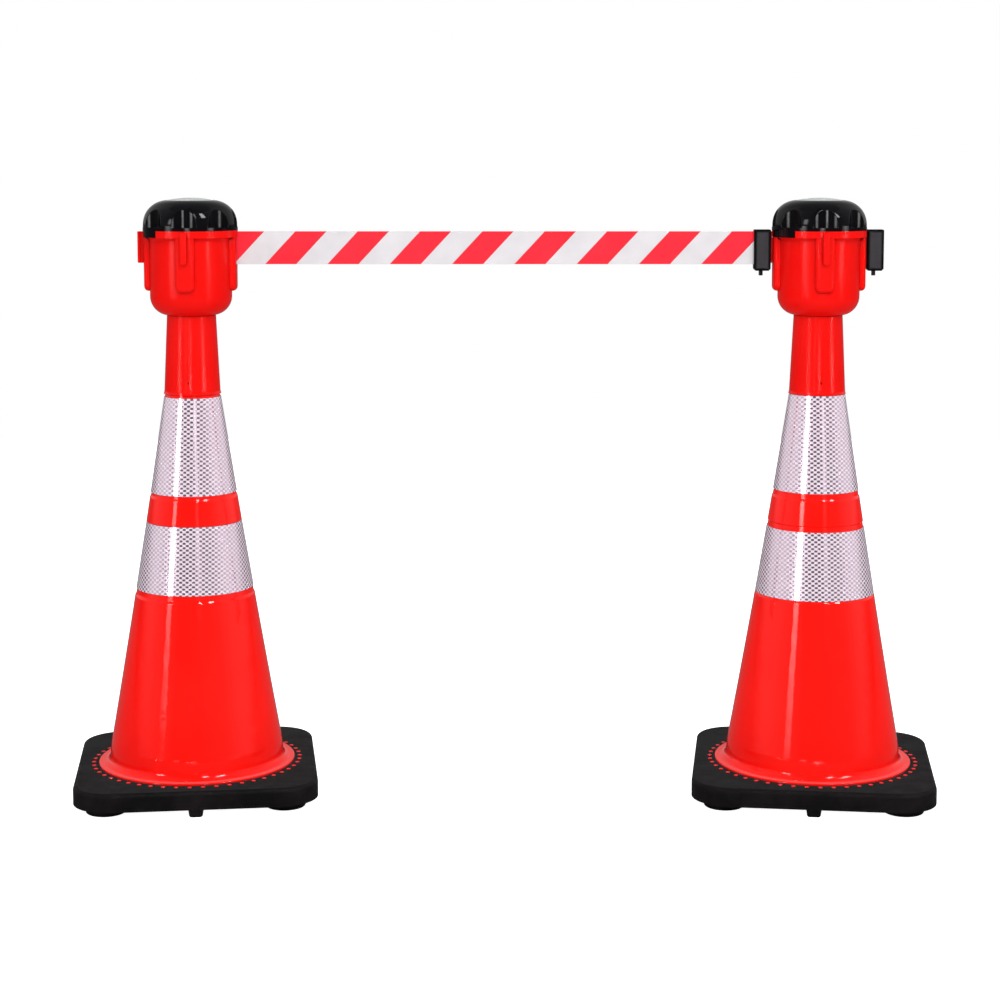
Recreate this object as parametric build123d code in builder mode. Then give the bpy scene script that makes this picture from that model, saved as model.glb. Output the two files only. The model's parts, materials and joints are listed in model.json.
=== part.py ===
"""Belt barrier on two traffic cones: a retractable belt runs between two cone toppers.

Lengths are in millimetres and angles in degrees. Each piece is modelled on its unit's own
axis, with the floor at z = 0, and the two units then stand at their places on the floor.
"""

import math
import os

from build123d import *

# How the pair stands: left unit at -X, right unit at +X, belt along +X
cone_spacing = 917.6
base_turn = 7.0

# Rubber base
base_side = 350.0
base_corner_round = 58.0
base_edge_round = 6.0
base_thickness = 26.5
foot_height = 11.5
foot_round = 6.0
foot_edge_round = 3.0
foot_taper = 8.0
corner_foot_radius = 30.5
corner_foot_reach = 127.5
side_foot_width = 22.0
side_foot_depth = 30.0
side_foot_inset = 0.5

# Hollow cone with an upright skirt at its foot, up to the shoulder under its tip
cone_foot_radius = 127.3
cone_shoulder_radius = 41.0
cone_shoulder_height = 586.4
cone_skirt = 20.0
cone_skirt_round = 100.0
cone_sag = 1.9
cone_wall = 5.5
cone_foot_round = 10.0
flange_width = 17.2
flange_thickness = 3.0
flange_edge_round = 1.5
spigot_wall = 3.5
spigot_recess = 2.0
tip_height = 112.1
tip_step = 2.3
tip_high_radius = 23.0
tip_wall = 3.5

# Reflective collars, each in a seat in the cone's wall that is longer than the collar by its play
upper_collar_height = 140.2
lower_collar_height = 97.6
upper_collar_play = 11.1
lower_collar_play = 12.5
left_upper_lift = 7.3
collar_gap = 35.5
collar_seat_depth = 1.2
collar_seat_ramp = 3.0
collar_seat_round = 4.0
collar_thickness = 0.9
collar_clearance = 0.15
collar_end_gap = 0.5

# Sleeve that drops over the cone's tip
sleeve_high_radius = 35.6
sleeve_wall = 1.9
sleeve_plate = 3.2
sleeve_lip = 0.8
sleeve_lip_height = 4.0
sleeve_lift = 0.6
sleeve_plate_gap = 0.3
sleeve_rib_count = 6
sleeve_rib_width = 2.4
sleeve_rib_lift = 35.7
sleeve_hole_radius = 1.5
sleeve_hole_height = 18.0
tip_clearance = 0.4

# Red cup that houses the reel
cup_radius = 59.5
cup_height = 124.0
cup_wall = 3.0
cup_floor = 3.5
cup_bottom_round = 28.0
rim_flare = 9.3
rim_wall = 3.4
rim_height = 10.0
rim_round = 5.5
rib_width = 28.0
rib_depth = 7.8
rib_length = 88.5
rib_end_round = 9.0
rib_round = 6.0
boss_radius = 5.0
boss_height = 8.0

# Receiver rails, one on each rib but the belt's
rail_stem_width = 4.6
rail_stem_reach = 6.3
rail_head_width = 9.2
rail_head_depth = 3.4
rail_length = 46.0
rail_drop = 1.8
rail_end_round = 4.0
rail_edge_round = 0.8

# Belt, its mouth and its guide
belt_width = 48.0
belt_thickness = 0.8
belt_length = 3000.0
belt_drop = 25.8
belt_clearance = 0.3
mouth_width = 8.0
mouth_margin = 6.0
guide_reach = 48.0
guide_post_radius = 3.0
guide_plate = 1.5
guide_width = 20.0
guide_depth = 11.0

# Reel
axle_radius = 6.0
axle_foot_radius = 14.0
axle_foot_height = 3.0
axle_shoulder_radius = 9.5
axle_shoulder_height = 21.0
axle_end = 8.0
axle_slot_width = 1.6
axle_slot_margin = 0.5
bush_wall = 1.95
bush_length = 10.0
cover_bush_length = 5.5
running_clearance = 0.05
hub_radius = 18.0
spool_radius = 36.0
spool_flange = 2.0
spool_clearance = 1.0
barrel_height = 41.0
barrel_wall = 2.5
barrel_cover = 2.5
barrel_cover_lip = 2.0
ring_thickness = 1.2
ring_groove_depth = 1.0
ring_radius = 9.0
ring_mouth = 60.0

# Power spring, wound from the axle to the barrel's wall
spring_strip = 0.8
spring_height = 34.0
spring_turns = 7
spring_start_radius = 9.0
spring_end_gap = 1.5

# Screws
screw_radius = 2.0
screw_head_radius = 3.5
screw_head_height = 2.4
screw_circle = 28.4
screw_count = 3
screw_start = 30.0
screw_bite = 4.0
axle_screw_radius = 2.5
axle_screw_head_radius = 5.0
axle_screw_head_height = 4.0
axle_screw_grip = 12.0
screw_clearance = 0.2

# Domed cap with eight finger flutes
cap_height = 43.4
cap_round = 36.0
cap_wall = 9.0
cap_cavity_radius = 54.0
cap_skirt_wall = 3.0
cap_seat_gap = 0.2
cap_twist = 18.0
flute_count = 8
flute_radius = 30.0
flute_depth = 8.5
flute_lift = 4.5
flute_edge_round = 1.5
tab_start = 186.5
tab_end = 231.0
lug_angles = (75.0, 130.0, 285.0)
lug_span = 12.0
lug_reach = 1.3
lug_height = 3.0
groove_clearance = 0.4
notch_play = 1.0
disc_radius = 35.5
disc_thickness = 1.4
disc_recess = 1.8
disc_crown = 3.8
disc_clearance = 0.3

# Belt clip, in two halves
clip_depth = 24.3
clip_width = 17.0
clip_height = 60.0
clip_bevel = 3.0
clip_round = 1.6
clip_edge_round = 1.0
clip_top_wall = 2.0
clip_lip = 1.9
clip_channel_clearance = 0.6
clip_park_gap = 0.4
belt_pin_radius = 1.4
belt_pin_reach = 3.2
belt_slot_width = 2.4
clip_screw_radius = 1.25
clip_screw_head_radius = 2.4
clip_screw_head_height = 1.6
clip_screw_length = 12.5
clip_screw_reach = 13.4
clip_screw_drops = (7.0, 29.0)

# Release button under the clip
button_radius = 3.0
button_reach = 10.6
button_drop = 7.0
button_round = 0.75
button_flange_radius = 4.2
button_flange_height = 2.5
button_floor = 3.0
button_chamber_height = 20.0
button_clearance = 0.1
coil_radius = 3.0
coil_wire = 0.35
coil_turns = 5

# Clearance between pieces that lie still together
seat_clearance = 0.1

# Heights above the floor
base_top = foot_height + base_thickness
cone_foot = base_top + flange_thickness
skirt_top = cone_foot + cone_skirt
cone_height = cone_shoulder_height + tip_height
upper_seat_low = cone_shoulder_height - upper_collar_height - upper_collar_play
lower_seat_high = upper_seat_low - collar_gap
lower_seat_low = lower_seat_high - lower_collar_height - lower_collar_play
sleeve_bottom = cone_shoulder_height + sleeve_lift
plate_bottom = cone_height + sleeve_plate_gap
cup_bottom = plate_bottom + sleeve_plate
cup_inside = cup_bottom + cup_floor
rim_top = cup_bottom + cup_height
rim_low = rim_top - rim_height
rim_ledge = rim_low + cup_wall
rail_top = rim_top - rail_drop
belt_low = rim_top - belt_drop - belt_width / 2
belt_high = belt_low + belt_width
mouth_low = belt_low - mouth_margin
axle_shoulder = cup_inside + axle_foot_height + axle_shoulder_height
cover_low = axle_shoulder + belt_clearance
barrel_low = cover_low + barrel_cover
barrel_high = barrel_low + barrel_height
spool_high = belt_high + spool_clearance + spool_flange
ring_low = spool_high + belt_clearance
axle_top = ring_low + ring_thickness + axle_end
cap_low = rim_top + cap_seat_gap
cap_top = cap_low + cap_height
clip_high = rail_top + clip_channel_clearance + clip_top_wall
clip_low = clip_high - clip_height

# Radii that follow from the above
spigot_radius = cone_foot_radius - cone_wall + spigot_wall
flange_radius = cone_foot_radius + flange_width
tip_low_radius = cone_shoulder_radius - tip_step
sleeve_low_radius = tip_low_radius + tip_clearance + sleeve_wall
rim_radius = cup_radius + rim_flare
rim_inner = rim_radius - rim_wall
cup_inner = cup_radius - cup_wall
skirt_radius = rim_inner - groove_clearance
hub_bore = axle_radius + running_clearance + bush_wall + seat_clearance / 2
barrel_inner = spool_radius - barrel_wall
rib_reach = cup_radius + rib_depth
rail_head_low = rib_reach + rail_stem_reach

# Belt path, as seen from above: off the reel, round the guide's back post, out along +X
guide_bend = guide_post_radius + belt_thickness / 2 + belt_clearance
clip_engaged = rail_head_low - clip_channel_clearance - clip_lip
clip_parked = rim_radius + clip_park_gap
left_clip_start = cone_spacing - clip_engaged - clip_depth
belt_shown = left_clip_start - rib_reach


def wall_radius(height):
    """Outer radius of the cone's wall, which bows in a little between skirt and shoulder."""
    share = (height - skirt_top) / (cone_shoulder_height - skirt_top)
    straight = cone_foot_radius + (cone_shoulder_radius - cone_foot_radius) * share
    return straight - cone_sag * 4 * share * (1 - share)


def wall_arc(start, end, inset):
    """Points of an arc along the cone's wall, at a depth below its outer surface."""
    heights = (start, (start + end) / 2, end)
    return [(wall_radius(height) - inset, height) for height in heights]


def tip_radius(height):
    """Outer radius of the cone's tip, above the shoulder."""
    share = (height - cone_shoulder_height) / (cone_height - cone_shoulder_height)
    return tip_low_radius + (tip_high_radius - tip_low_radius) * share


def sleeve_radius(height):
    """Outer radius of the sleeve, above its lip."""
    share = (height - sleeve_bottom) / (cup_bottom - sleeve_bottom)
    return sleeve_low_radius + (sleeve_high_radius - sleeve_low_radius) * share


def wound_radius(length):
    """Outer radius of the belt wound on the hub."""
    return math.sqrt(hub_radius**2 + belt_thickness * length / math.pi)


def radial_plane(turn):
    """Upright plane through the axis: x outwards at an angle, y up."""
    facing = Vector(1, 0, 0).rotate(Axis.Z, turn)
    across = Vector(0, 1, 0).rotate(Axis.Z, turn)
    return Plane(origin=(0, 0, 0), x_dir=facing, z_dir=-across)


def outward_plane(turn, reach):
    """Upright plane that faces outwards at an angle: x across, y up."""
    facing = Vector(1, 0, 0).rotate(Axis.Z, turn)
    across = Vector(0, 1, 0).rotate(Axis.Z, turn)
    return Plane(origin=facing * reach, x_dir=across, z_dir=facing)


def ring_sector(inner, outer, start, end):
    """Sketch of part of a flat ring, between two angles."""
    with BuildSketch() as sector:
        with BuildLine():
            near = CenterArc((0, 0), inner, start, end - start)
            far = CenterArc((0, 0), outer, start, end - start)
            Line(near @ 0, far @ 0)
            Line(near @ 1, far @ 1)
        make_face()
    return sector.sketch


def belt_outline(roll_radius, clip_start):
    """Sketch of the belt seen on edge, from the reel to the loop round the clip's pin."""
    reel_bend = roll_radius + belt_clearance + belt_thickness / 2
    post = Vector(guide_reach, guide_bend)
    lean = math.asin((reel_bend + guide_bend) / post.length)
    heading = math.atan2(post.Y, post.X) - lean
    left = Vector(-math.sin(heading), math.cos(heading))
    leave = left * reel_bend
    touch = post - left * guide_bend
    outlet = Vector(guide_reach, 0)
    pin_x = clip_start + belt_pin_reach
    loop_inner = belt_pin_radius + seat_clearance
    loop_outer = loop_inner + belt_thickness
    with BuildSketch() as outline:
        with BuildLine():
            Line(leave, touch)
            TangentArc(touch, outlet, tangent=touch - leave)
            Line(outlet, (pin_x - (loop_inner + loop_outer) / 2, outlet.Y))
        trace(line_width=belt_thickness)
        with Locations((pin_x, 0)):
            Circle(loop_outer)
            Circle(loop_inner, mode=Mode.SUBTRACT)
    return outline.sketch


# Square rubber base with rounded corners, on eight feet, round the cone's open foot
with BuildPart() as base:
    with BuildSketch(Plane.XY.offset(foot_height)):
        RectangleRounded(base_side, base_side, base_corner_round)
        Circle(spigot_radius + seat_clearance, mode=Mode.SUBTRACT)
    extrude(amount=base_thickness)
    fillet(base.faces().sort_by(Axis.Z)[-1].outer_wire().edges(), base_edge_round)
    with BuildSketch(Plane.XY.offset(foot_height)):
        with GridLocations(2 * corner_foot_reach, 2 * corner_foot_reach, 2, 2):
            Circle(corner_foot_radius)
        with PolarLocations(base_side / 2 - side_foot_inset - side_foot_depth / 2, 4):
            RectangleRounded(side_foot_depth, side_foot_width, foot_round)
    extrude(amount=-foot_height, taper=foot_taper)
    fillet(base.faces().sort_by(Axis.Z)[:8].edges(), foot_edge_round)

# Hollow cone with its foot flange, two collar seats and a narrower tip
with BuildPart() as cone_shell:
    with BuildSketch(Plane.XZ) as cone_profile:
        with BuildLine():
            spigot_low = foot_height + spigot_recess
            wall_start = cone_foot_radius - cone_wall
            foot_corner = Vector(cone_foot_radius, cone_foot)
            flange_corner = Vector(flange_radius, cone_foot)
            skirt_corner = Vector(cone_foot_radius, skirt_top)
            Polyline(
                (wall_start, skirt_top),
                (wall_start, spigot_low),
                (spigot_radius, spigot_low),
                (spigot_radius, base_top),
                (flange_radius, base_top),
                flange_corner,
                foot_corner,
                skirt_corner,
            )
            skirt_wall = wall_arc(skirt_top, lower_seat_low, 0)
            lower_floor = (lower_seat_low + collar_seat_ramp, lower_seat_high - collar_seat_depth)
            lower_seat = wall_arc(*lower_floor, collar_seat_depth)
            land = wall_arc(lower_seat_high, upper_seat_low, 0)
            upper_floor = (upper_seat_low + collar_seat_ramp, cone_shoulder_height)
            upper_seat = wall_arc(*upper_floor, collar_seat_depth)
            inner_wall = wall_arc(cone_shoulder_height, skirt_top, cone_wall)
            ThreePointArc(*skirt_wall)
            Line(skirt_wall[2], lower_seat[0])
            ThreePointArc(*lower_seat)
            Line(lower_seat[2], land[0])
            ThreePointArc(*land)
            Line(land[2], upper_seat[0])
            ThreePointArc(*upper_seat)
            Polyline(
                upper_seat[2],
                (tip_low_radius, cone_shoulder_height),
                (tip_high_radius, cone_height),
                (tip_high_radius - tip_wall, cone_height),
                inner_wall[0],
            )
            ThreePointArc(*inner_wall)
        make_face()
        for corner, radius in (
            (foot_corner, cone_foot_round),
            (flange_corner, flange_edge_round),
            (skirt_corner, cone_skirt_round),
            (skirt_wall[2], collar_seat_round),
            (lower_seat[0], collar_seat_round),
            (land[2], collar_seat_round),
            (upper_seat[0], collar_seat_round),
        ):
            fillet(cone_profile.vertices().sort_by_distance(corner)[0], radius)
    revolve(axis=Axis.Z)


def collar(low, height):
    """Collar of reflective sheeting in its seat, just under flush with the cone."""
    outside = wall_arc(low, low + height, collar_clearance)
    inside = wall_arc(low, low + height, collar_clearance + collar_thickness)
    with BuildPart() as band:
        with BuildSketch(Plane.XZ):
            with BuildLine():
                ThreePointArc(*outside)
                ThreePointArc(*inside)
                Line(outside[0], inside[0])
                Line(outside[2], inside[2])
            make_face()
        revolve(axis=Axis.Z)
    return band


# Sleeve over the cone's tip, with centring ribs that follow the tip
with BuildPart() as sleeve:
    with BuildSketch(Plane.XZ):
        with BuildLine():
            lip_top = sleeve_bottom + sleeve_lip_height
            Polyline(
                (axle_screw_radius + screw_clearance, cup_bottom),
                (sleeve_high_radius, cup_bottom),
                (sleeve_radius(lip_top), lip_top),
                (sleeve_low_radius + sleeve_lip, sleeve_bottom),
                (sleeve_low_radius - sleeve_wall, sleeve_bottom),
                (sleeve_radius(plate_bottom) - sleeve_wall, plate_bottom),
                (axle_screw_radius + screw_clearance, plate_bottom),
                close=True,
            )
        make_face()
    revolve(axis=Axis.Z)
    rib_low = sleeve_bottom + sleeve_rib_lift
    for number in range(sleeve_rib_count):
        with BuildSketch(radial_plane(number * 360 / sleeve_rib_count)):
            with BuildLine():
                Polyline(
                    (tip_radius(rib_low) + tip_clearance, rib_low),
                    (tip_high_radius + tip_clearance, plate_bottom),
                    (sleeve_radius(plate_bottom) - sleeve_wall / 2, plate_bottom),
                    (sleeve_radius(rib_low) - sleeve_wall / 2, rib_low),
                    close=True,
                )
            make_face()
        extrude(amount=sleeve_rib_width / 2, both=True)
    with BuildSketch(Plane.XY.offset(plate_bottom)):
        with PolarLocations(screw_circle, screw_count, start_angle=screw_start):
            Circle(screw_radius + screw_clearance)
    extrude(amount=sleeve_plate, mode=Mode.SUBTRACT)
    with BuildSketch(outward_plane(270, 0)):
        with Locations((0, sleeve_bottom + sleeve_hole_height)):
            Circle(sleeve_hole_radius)
    extrude(amount=sleeve_low_radius + sleeve_lip, mode=Mode.SUBTRACT)

# Screws that hold the sleeve under the cup
with BuildPart() as sleeve_screws:
    with BuildSketch(Plane.XY.offset(plate_bottom - screw_head_height)):
        with PolarLocations(screw_circle, screw_count, start_angle=screw_start):
            Circle(screw_head_radius)
    extrude(amount=screw_head_height)
    with BuildSketch(Plane.XY.offset(plate_bottom)):
        with PolarLocations(screw_circle, screw_count, start_angle=screw_start):
            Circle(screw_radius)
    extrude(amount=sleeve_plate + cup_floor + screw_bite)

with BuildPart() as axle_screw:
    with BuildSketch(Plane.XY.offset(plate_bottom - axle_screw_head_height)):
        Circle(axle_screw_head_radius)
    extrude(amount=axle_screw_head_height)
    with BuildSketch(Plane.XY.offset(plate_bottom)):
        Circle(axle_screw_radius)
    extrude(amount=sleeve_plate + cup_floor + axle_screw_grip)

# Rib of the cup, on its +X side, rounded along its outer edges
with BuildPart() as rib:
    with BuildSketch(Plane.XZ):
        with BuildLine():
            rib_root = cup_radius - cup_wall / 2
            rib_end = rim_top - rib_length
            Polyline(
                (rib_root, rib_end),
                (rib_reach, rib_end),
                (rib_reach, rim_low + rim_wall),
                (rib_root, rim_low - rim_round),
                close=True,
            )
        make_face()
    extrude(amount=rib_width / 2, both=True)
    fillet(rib.edges().filter_by(Axis.X).group_by(Axis.Z)[0], rib_end_round)
    fillet(rib.faces().sort_by(Axis.X)[-1].edges().sort_by(Axis.Z)[:-1], rib_round)

# Receiver rail on a rib: a stem, and a wider head with a rounded foot
with BuildPart() as rail:
    rail_middle = rail_top - rail_length / 2
    with BuildSketch(Plane.YZ.offset(rib_reach - cup_wall / 2)):
        with Locations((0, rail_middle)):
            Rectangle(rail_stem_width, rail_length)
    extrude(amount=rail_stem_reach + cup_wall / 2)
    with BuildSketch(Plane.YZ.offset(rail_head_low)) as rail_head:
        with Locations((0, rail_middle)):
            Rectangle(rail_head_width, rail_length)
        fillet(rail_head.vertices().group_by(Axis.Y)[0], rail_end_round)
    extrude(amount=rail_head_depth)
    fillet(rail.faces().sort_by(Axis.X)[-1].edges(), rail_edge_round)

# Cup with a flared rim, four ribs, three receiver rails and an open-topped belt mouth
with BuildPart() as housing:
    with BuildSketch(Plane.XZ) as cup_profile:
        with BuildLine():
            Polyline(
                (0, cup_bottom),
                (cup_radius, cup_bottom),
                (cup_radius, rim_low),
                (rim_radius, rim_low),
                (rim_radius, rim_top),
                (rim_inner, rim_top),
                (rim_inner, rim_ledge),
                (cup_inner, rim_ledge),
                (cup_inner, cup_inside),
                (0, cup_inside),
                close=True,
            )
        make_face()
        outer_corner = cup_profile.vertices().sort_by_distance((cup_radius, cup_bottom))[0]
        fillet(outer_corner, cup_bottom_round)
        inner_corner = cup_profile.vertices().sort_by_distance((cup_inner, cup_inside))[0]
        fillet(inner_corner, cup_bottom_round - cup_wall)
        rim_corner = cup_profile.vertices().sort_by_distance((cup_radius, rim_low))[0]
        fillet(rim_corner, rim_round)
        ledge_corner = cup_profile.vertices().sort_by_distance((cup_inner, rim_ledge))[0]
        fillet(ledge_corner, min(rim_round + cup_wall, rim_inner - cup_inner - groove_clearance))
    revolve(axis=Axis.Z)
    with PolarLocations(0, 4):
        add(rib.part)
    with PolarLocations(0, 3, start_angle=90, angular_range=180, endpoint=True):
        add(rail.part)
    with BuildSketch(Plane.XY.offset(mouth_low)):
        with Locations((cup_radius, 0)):
            Rectangle(2 * (cup_radius - guide_reach), mouth_width)
    extrude(amount=rim_top - mouth_low, mode=Mode.SUBTRACT)
    with BuildSketch(Plane.XY.offset(rim_low)):
        notch_start = tab_start - cap_twist - notch_play
        notch_end = tab_end + notch_play
        add(ring_sector(skirt_radius, rim_radius + groove_clearance, notch_start, notch_end))
    extrude(amount=rim_height, mode=Mode.SUBTRACT)
    with BuildSketch(Plane.XY.offset(rim_ledge)):
        Circle(rim_inner + lug_reach)
        Circle(skirt_radius, mode=Mode.SUBTRACT)
    extrude(amount=lug_height + 2 * groove_clearance, mode=Mode.SUBTRACT)
    with BuildSketch(Plane.XY.offset(rim_ledge)):
        for angle in lug_angles:
            entry = angle - cap_twist
            half = lug_span / 2 + notch_play
            add(ring_sector(skirt_radius, rim_inner + lug_reach, entry - half, entry + half))
    extrude(amount=rim_top - rim_ledge, mode=Mode.SUBTRACT)
    with BuildSketch(Plane.XY.offset(cup_inside - cup_floor / 2)):
        with PolarLocations(screw_circle, screw_count, start_angle=screw_start):
            Circle(boss_radius)
    extrude(amount=boss_height + cup_floor / 2)
    with BuildSketch(Plane.XY.offset(cup_bottom)):
        with PolarLocations(screw_circle, screw_count, start_angle=screw_start):
            Circle(screw_radius + seat_clearance)
        Circle(axle_screw_radius + screw_clearance)
    extrude(amount=cup_floor + screw_bite + seat_clearance, mode=Mode.SUBTRACT)

# Fixed axle, with a slot for the spring's inner end
with BuildPart() as axle:
    with BuildSketch(Plane.XZ):
        with BuildLine():
            groove_radius = axle_radius - ring_groove_depth
            groove_low = ring_low - seat_clearance
            groove_high = ring_low + ring_thickness + seat_clearance
            screw_end = cup_inside + axle_screw_grip + seat_clearance
            screw_bore = axle_screw_radius + seat_clearance
            Polyline(
                (screw_bore, cup_inside),
                (axle_foot_radius, cup_inside),
                (axle_foot_radius, cup_inside + axle_foot_height),
                (axle_shoulder_radius, cup_inside + axle_foot_height),
                (axle_shoulder_radius, axle_shoulder),
                (axle_radius, axle_shoulder),
                (axle_radius, groove_low),
                (groove_radius, groove_low),
                (groove_radius, groove_high),
                (axle_radius, groove_high),
                (axle_radius, axle_top),
                (0, axle_top),
                (0, screw_end),
                (screw_bore, screw_end),
                close=True,
            )
        make_face()
    revolve(axis=Axis.Z)
    spring_low = (barrel_low + barrel_high - spring_height) / 2
    with BuildSketch(Plane.XY.offset(spring_low - belt_clearance)):
        with Locations((axle_radius / 2, 0)):
            Rectangle(axle_radius + 2 * axle_slot_margin, axle_slot_width)
    extrude(amount=spring_height + 2 * belt_clearance, mode=Mode.SUBTRACT)

# Snap ring in the axle's groove, above the spool
with BuildPart() as snap_ring:
    with BuildSketch(Plane.XY.offset(ring_low)):
        ring_bore = axle_radius - ring_groove_depth + seat_clearance
        add(ring_sector(ring_bore, ring_radius, ring_mouth / 2, 360 - ring_mouth / 2))
    extrude(amount=ring_thickness)

# Spool: hub with two flanges over the spring's barrel
with BuildPart() as spool:
    with BuildSketch(Plane.XZ):
        with BuildLine():
            lower_flange = belt_low - spool_clearance
            Polyline(
                (hub_bore, barrel_high),
                (barrel_inner, barrel_high),
                (barrel_inner, barrel_low),
                (spool_radius, barrel_low),
                (spool_radius, lower_flange),
                (hub_radius, lower_flange),
                (hub_radius, belt_high + spool_clearance),
                (spool_radius, belt_high + spool_clearance),
                (spool_radius, spool_high),
                (hub_bore, spool_high),
                close=True,
            )
        make_face()
    revolve(axis=Axis.Z)

with BuildPart() as spring_cover:
    with BuildSketch(Plane.XZ):
        with BuildLine():
            lip_radius = barrel_inner - seat_clearance
            Polyline(
                (hub_bore, cover_low),
                (spool_radius, cover_low),
                (spool_radius, barrel_low),
                (lip_radius, barrel_low),
                (lip_radius, barrel_low + barrel_cover_lip),
                (lip_radius - barrel_wall, barrel_low + barrel_cover_lip),
                (lip_radius - barrel_wall, barrel_low),
                (hub_bore, barrel_low),
                close=True,
            )
        make_face()
    revolve(axis=Axis.Z)

# Plain bushes in the cover and in the hub's top, running on the axle
bush_bore = axle_radius + running_clearance
with BuildPart() as lower_bush:
    with BuildSketch(Plane.XY.offset(cover_low)):
        Circle(bush_bore + bush_wall)
        Circle(bush_bore, mode=Mode.SUBTRACT)
    extrude(amount=cover_bush_length)

with BuildPart() as upper_bush:
    with BuildSketch(Plane.XY.offset(spool_high - bush_length)):
        Circle(bush_bore + bush_wall)
        Circle(bush_bore, mode=Mode.SUBTRACT)
    extrude(amount=bush_length)

# Flat spiral spring of half-turn arcs, from the axle's slot out to the barrel's wall
with BuildPart() as power_spring:
    spring_end_radius = barrel_inner - spring_end_gap
    half_step = (spring_end_radius - spring_start_radius) / (2 * spring_turns)
    with BuildSketch(Plane.XY.offset(spring_low)):
        with BuildLine():
            Line((axle_slot_margin, 0), (spring_start_radius, 0))
            reach = spring_start_radius
            side = 1
            for half_turn in range(2 * spring_turns):
                start = (side * reach, 0)
                end = (-side * (reach + half_step), 0)
                bulge = (-side * half_step / 2, side * (reach + half_step / 2))
                ThreePointArc(start, bulge, end)
                reach += half_step
                side = -side
            Line((side * reach, 0), (side * (barrel_inner - seat_clearance), 0))
        trace(line_width=spring_strip)
    extrude(amount=spring_height)

# Guide that the belt leaves by: two round posts between two plates, set into the mouth
with BuildPart() as belt_guide:
    for plate_low in (mouth_low, rim_top - guide_plate):
        with BuildSketch(Plane.XY.offset(plate_low)):
            with Locations((guide_reach, 0)):
                Rectangle(guide_depth, guide_width)
            tongue_end = cup_radius - seat_clearance
            with Locations(((guide_reach + tongue_end) / 2, 0)):
                Rectangle(tongue_end - guide_reach, mouth_width - 2 * seat_clearance)
        extrude(amount=guide_plate)
    with BuildSketch(Plane.XY.offset(mouth_low)):
        for across in (guide_bend, -guide_bend):
            with Locations((guide_reach, across)):
                Circle(guide_post_radius)
    extrude(amount=rim_top - mouth_low)

# Domed cap with finger flutes, an inner skirt with bayonet lugs, and a tab in the rim's notch
with BuildPart() as cap:
    with BuildSketch(Plane.XZ) as cap_profile:
        with BuildLine():
            cavity_top = cap_top - cap_wall
            Polyline(
                (0, cap_top),
                (rim_radius, cap_top),
                (rim_radius, cap_low),
                (cap_cavity_radius, cap_low),
                (cap_cavity_radius, cavity_top),
                (0, cavity_top),
                close=True,
            )
        make_face()
        crown = cap_profile.vertices().sort_by_distance((rim_radius, cap_top))[0]
        fillet(crown, cap_round)
        hollow = cap_profile.vertices().sort_by_distance((cap_cavity_radius, cavity_top))[0]
        fillet(hollow, cap_round - cap_wall)
    revolve(axis=Axis.Z)
    flute_low = cap_low + flute_lift
    with BuildSketch(Plane.XY.offset(flute_low)):
        with PolarLocations(rim_radius - flute_depth + flute_radius, flute_count):
            Circle(flute_radius)
    extrude(amount=cap_height, mode=Mode.SUBTRACT)
    arches = cap.edges(Select.LAST).filter_by(GeomType.CIRCLE, reverse=True)
    fillet(arches.filter_by_position(Axis.Z, flute_low, cap_top), flute_edge_round)
    with BuildSketch(Plane.XY.offset(cap_top)):
        Circle(disc_radius + disc_clearance)
    extrude(amount=-disc_recess, mode=Mode.SUBTRACT)
    mouth_half = math.degrees(mouth_width / 2 / skirt_radius) + notch_play
    skirt_inner = skirt_radius - cap_skirt_wall
    skirt_low = rim_ledge + groove_clearance
    with BuildSketch(Plane.XY.offset(skirt_low)):
        add(ring_sector(skirt_inner, skirt_radius, cap_twist + mouth_half, 360 - mouth_half))
    extrude(amount=cap_low - skirt_low)
    tab_low = rim_low + groove_clearance
    with BuildSketch(Plane.XY.offset(tab_low)):
        add(ring_sector(skirt_radius, rim_radius - seat_clearance, tab_start, tab_end))
    extrude(amount=cap_low - tab_low)
    with BuildSketch(Plane.XY.offset(skirt_low)):
        for angle in lug_angles:
            lug_end = skirt_radius + lug_reach
            add(ring_sector(skirt_inner, lug_end, angle - lug_span / 2, angle + lug_span / 2))
    extrude(amount=lug_height)

# Low domed disc let into the top of the cap
with BuildPart() as cap_disc:
    with BuildSketch(Plane.XZ):
        with BuildLine():
            disc_low = cap_top - disc_recess
            disc_edge = disc_low + disc_thickness
            crown_radius = (disc_radius**2 + disc_crown**2) / (2 * disc_crown)
            crown_top = Vector(0, disc_edge + disc_crown)
            crown_middle = crown_top - Vector(0, crown_radius)
            crown_half = math.asin(disc_radius / crown_radius) / 2
            bulge = crown_middle + Vector(math.sin(crown_half), math.cos(crown_half)) * crown_radius
            Polyline(crown_top, (0, disc_low), (disc_radius, disc_low), (disc_radius, disc_edge))
            ThreePointArc((disc_radius, disc_edge), bulge, crown_top)
        make_face()
    revolve(axis=Axis.Z)

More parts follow.
